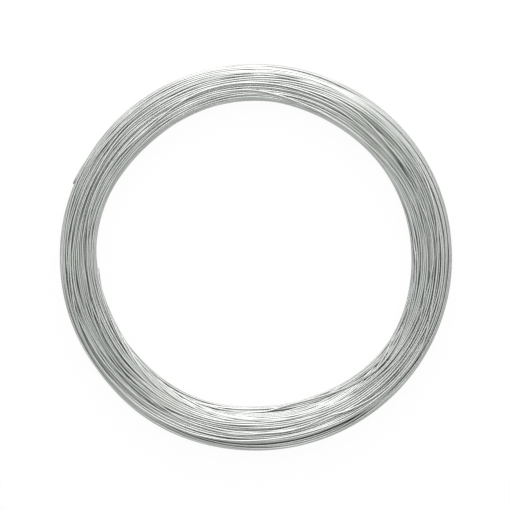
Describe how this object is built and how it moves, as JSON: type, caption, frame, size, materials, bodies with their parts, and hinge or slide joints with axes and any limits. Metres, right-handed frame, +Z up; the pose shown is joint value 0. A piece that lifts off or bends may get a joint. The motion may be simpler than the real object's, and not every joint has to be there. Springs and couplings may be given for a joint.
{
  "type": "coil of galvanized wire",
  "caption": "Flat ring coil of bare galvanized steel tie wire, many close turns wound into one rounded bundle round an open bore.",
  "frame": {"origin": "centre of the coil on the floor it lies on", "axes": "+Z up along the axis of the coil; +Y towards the top of the picture, +X to its right"},
  "size_m": [0.3, 0.3, 0.026],
  "materials": {
    "galvanized_wire": "hot-dip galvanized drawn wire, bright zinc with a faint green-grey cast"
  },
  "bodies": {
    "root": {"wire_coil": "galvanized_wire"}
  },
  "joints": []
}
